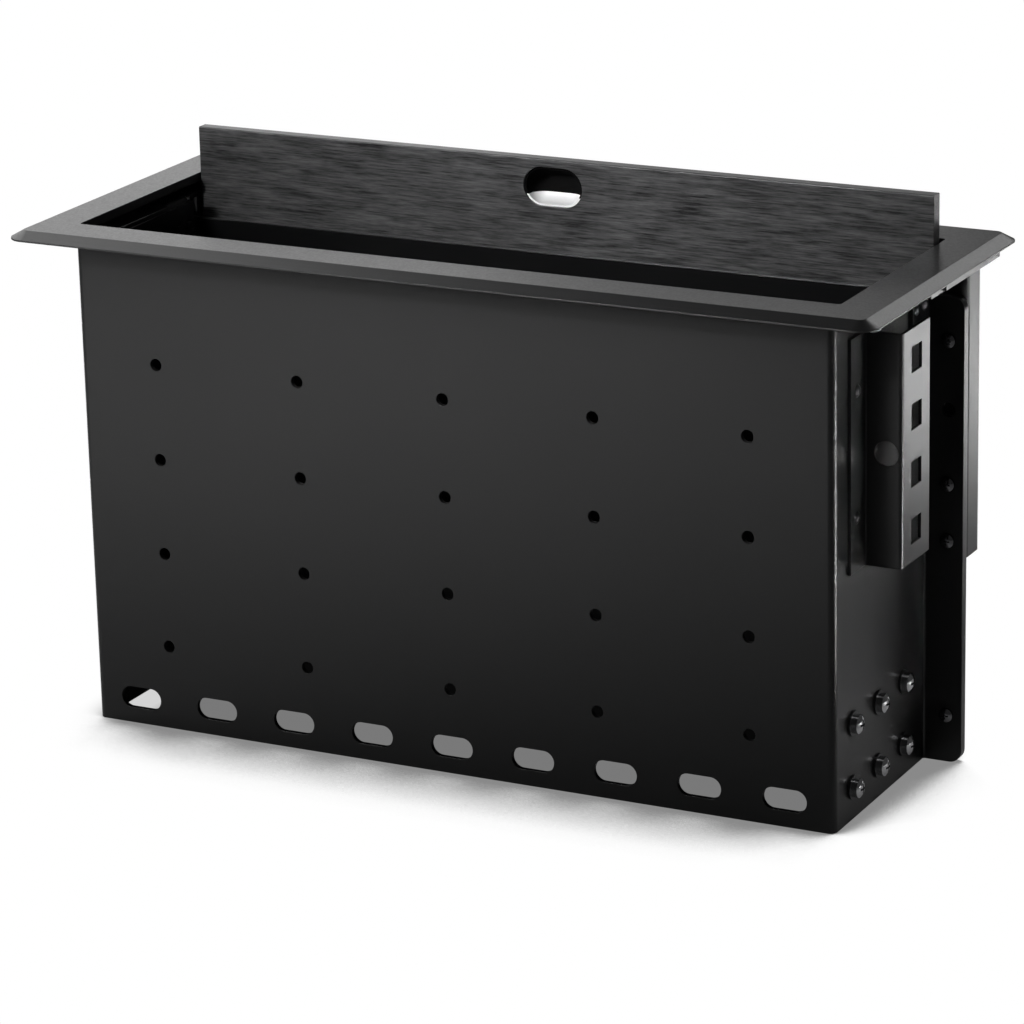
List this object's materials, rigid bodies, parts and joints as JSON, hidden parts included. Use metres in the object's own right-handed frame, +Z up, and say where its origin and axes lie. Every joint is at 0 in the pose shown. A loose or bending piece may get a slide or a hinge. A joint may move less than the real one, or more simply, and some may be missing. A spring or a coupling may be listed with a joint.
{
  "type": "table connectivity box",
  "caption": "Drop-in sheet steel connectivity box for a table, with a bevelled bezel and a lid that slides up out of a rear pocket.",
  "frame": {"origin": "middle of the bezel in plan, on the floor that the box stands on", "axes": "+X along the length, +Y from the front panel to the lid pocket, +Z up"},
  "size_m": [0.37, 0.151, 0.226],
  "materials": {
    "coated_steel": "satin black powder coat",
    "anodised_bezel": "black anodised, fine satin",
    "brushed_lid": "black anodised, brushed lengthwise",
    "bright_cup": "bright satin",
    "zinc_steel": "zinc plated",
    "black_steel": "black zinc, satin",
    "acetal": "matte black",
    "rubber": "matte",
    "felt": "matte felt"
  },
  "bodies": {
    "housing": {"bezel_frame": "anodised_bezel", "body_shell": "coated_steel", "rear_panel": "coated_steel", "lid_pocket": "coated_steel", "left_lid_guide": "acetal", "right_lid_guide": "acetal", "pin_rest_pads": "rubber", "front_felt_strip": "felt", "rear_felt_strip": "felt", "left_track_plate": "coated_steel", "right_track_plate": "coated_steel", "left_track_rivets": "black_steel", "right_track_rivets": "black_steel", "left_track_bar": "anodised_bezel", "right_track_bar": "anodised_bezel", "bezel_screws": "zinc_steel", "seat_screws": "zinc_steel", "left_clamp_rail": "coated_steel", "right_clamp_rail": "coated_steel", "left_rail_rivets": "zinc_steel", "right_rail_rivets": "zinc_steel", "left_end_screws": "black_steel", "right_end_screws": "black_steel", "left_end_washers": "black_steel", "right_end_washers": "black_steel", "left_end_nuts": "zinc_steel", "right_end_nuts": "zinc_steel", "left_flange_screws": "zinc_steel", "right_flange_screws": "zinc_steel", "left_flange_nuts": "zinc_steel", "right_flange_nuts": "zinc_steel", "guide_screws": "zinc_steel"},
    "lid": {"lid_panel": "brushed_lid", "finger_cup": "acetal", "finger_lip": "bright_cup", "lid_pins": "zinc_steel"}
  },
  "joints": [
    {"name": "lid_slide", "type": "slide", "parent": "housing", "child": "lid", "axis": [0, 0, 1], "range_m": [0, 0.0735]}
  ]
}
